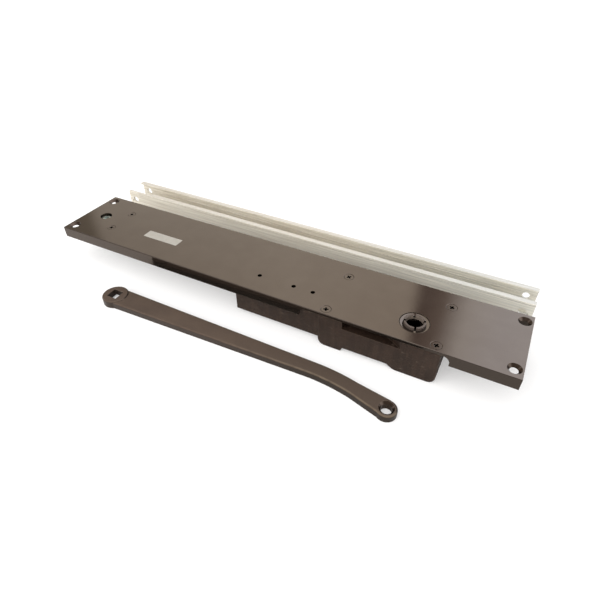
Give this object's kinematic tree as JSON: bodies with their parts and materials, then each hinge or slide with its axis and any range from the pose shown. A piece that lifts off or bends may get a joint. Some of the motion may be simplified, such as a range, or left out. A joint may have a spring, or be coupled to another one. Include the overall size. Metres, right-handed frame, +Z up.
{
  "type": "concealed overhead door closer",
  "caption": "Concealed overhead door closer: tray-shaped face plate over a rack-and-pinion body and spring tube, with a loose bent lever arm and a slide track.",
  "frame": {"origin": "middle of the whole set in plan, on the surface that it lies on", "axes": "+X along the face plate towards the spindle's end, +Y from the arm towards the track, +Z up out of the face plate"},
  "size_m": [0.5568, 0.2176, 0.0464],
  "materials": {
    "bronze_paint": "dark bronze gloss paint",
    "cast_iron": "dark bronze painted casting",
    "arm_paint": "dark bronze paint over a forged skin",
    "ground_steel": "turned and ground",
    "dark_steel": "blackened",
    "spring_steel": "oiled wire",
    "zinc": "zinc plated",
    "brass": "turned",
    "rubber": "smooth",
    "aluminium": "satin anodised"
  },
  "bodies": {
    "closer": {"face_plate": "bronze_paint", "closer_body": "cast_iron", "spring_tube": "dark_steel", "tube_seal": "rubber", "tube_end_cap": "dark_steel", "main_spring": "spring_steel", "lower_bearing": "brass", "thrust_washer": "brass", "upper_bearing": "brass", "spindle_seal": "rubber", "bearing_cap": "bronze_paint", "end_plug": "dark_steel", "plug_seal": "rubber", "body_screw_front_left": "bronze_paint", "body_screw_rear_left": "bronze_paint", "body_screw_front_right": "bronze_paint", "body_screw_rear_right": "bronze_paint", "hanger_bracket": "zinc", "bracket_screw_front": "bronze_paint", "bracket_screw_rear": "bronze_paint", "hanger_screw": "zinc", "hanger_nut": "zinc", "lever_arm": "arm_paint", "slide_track": "aluminium"},
    "spindle": {"spindle": "ground_steel"},
    "piston": {"piston": "ground_steel", "piston_seal": "rubber", "check_ball": "ground_steel", "check_retainer": "brass"},
    "backcheck_valve": {"backcheck_valve": "brass", "backcheck_valve_seal": "rubber"},
    "sweep_valve": {"sweep_valve": "brass", "sweep_valve_seal": "rubber"},
    "latch_valve": {"latch_valve": "brass", "latch_valve_seal": "rubber"},
    "adjuster": {"adjusting_screw": "ground_steel"},
    "spring_seat": {"spring_seat": "ground_steel"}
  },
  "joints": [
    {"name": "spindle_turn", "type": "hinge", "parent": "closer", "child": "spindle", "pos_m": [0.1753, -0.01781, 0.044], "axis": [0, 0, 1], "range_deg": [0, 120], "stiffness_Nm_per_rad": 8, "springref_deg": -85.94},
    {"name": "piston_slide", "type": "slide", "parent": "closer", "child": "piston", "axis": [-1, 0, 0], "range_m": [0, 0.0189], "deforming": ["main_spring"]},
    {"name": "backcheck_valve_turn", "type": "hinge", "parent": "closer", "child": "backcheck_valve", "pos_m": [0.0027, -0.02101, 0.0375], "axis": [0, 0, 1], "range_deg": [0, 360]},
    {"name": "sweep_valve_turn", "type": "hinge", "parent": "closer", "child": "sweep_valve", "pos_m": [0.0445, -0.02101, 0.0375], "axis": [0, 0, 1], "range_deg": [0, 360]},
    {"name": "latch_valve_turn", "type": "hinge", "parent": "closer", "child": "latch_valve", "pos_m": [0.0671, -0.02101, 0.0375], "axis": [0, 0, 1], "range_deg": [0, 360]},
    {"name": "power_adjust", "type": "hinge", "parent": "closer", "child": "adjuster", "pos_m": [-0.1635, -0.00141, 0.02265], "axis": [1, 0, 0], "range_deg": [0, 1440]},
    {"name": "spring_seat_slide", "type": "slide", "parent": "closer", "child": "spring_seat", "axis": [1, 0, 0], "range_m": [0, 0.00601], "deforming": ["main_spring"]}
  ],
  "couplings": [
    {"joint": "piston_slide", "follows": "spindle_turn", "m_per_rad": 0.009},
    {"joint": "spring_seat_slide", "follows": "power_adjust", "m_per_rad": 0.00023873}
  ]
}
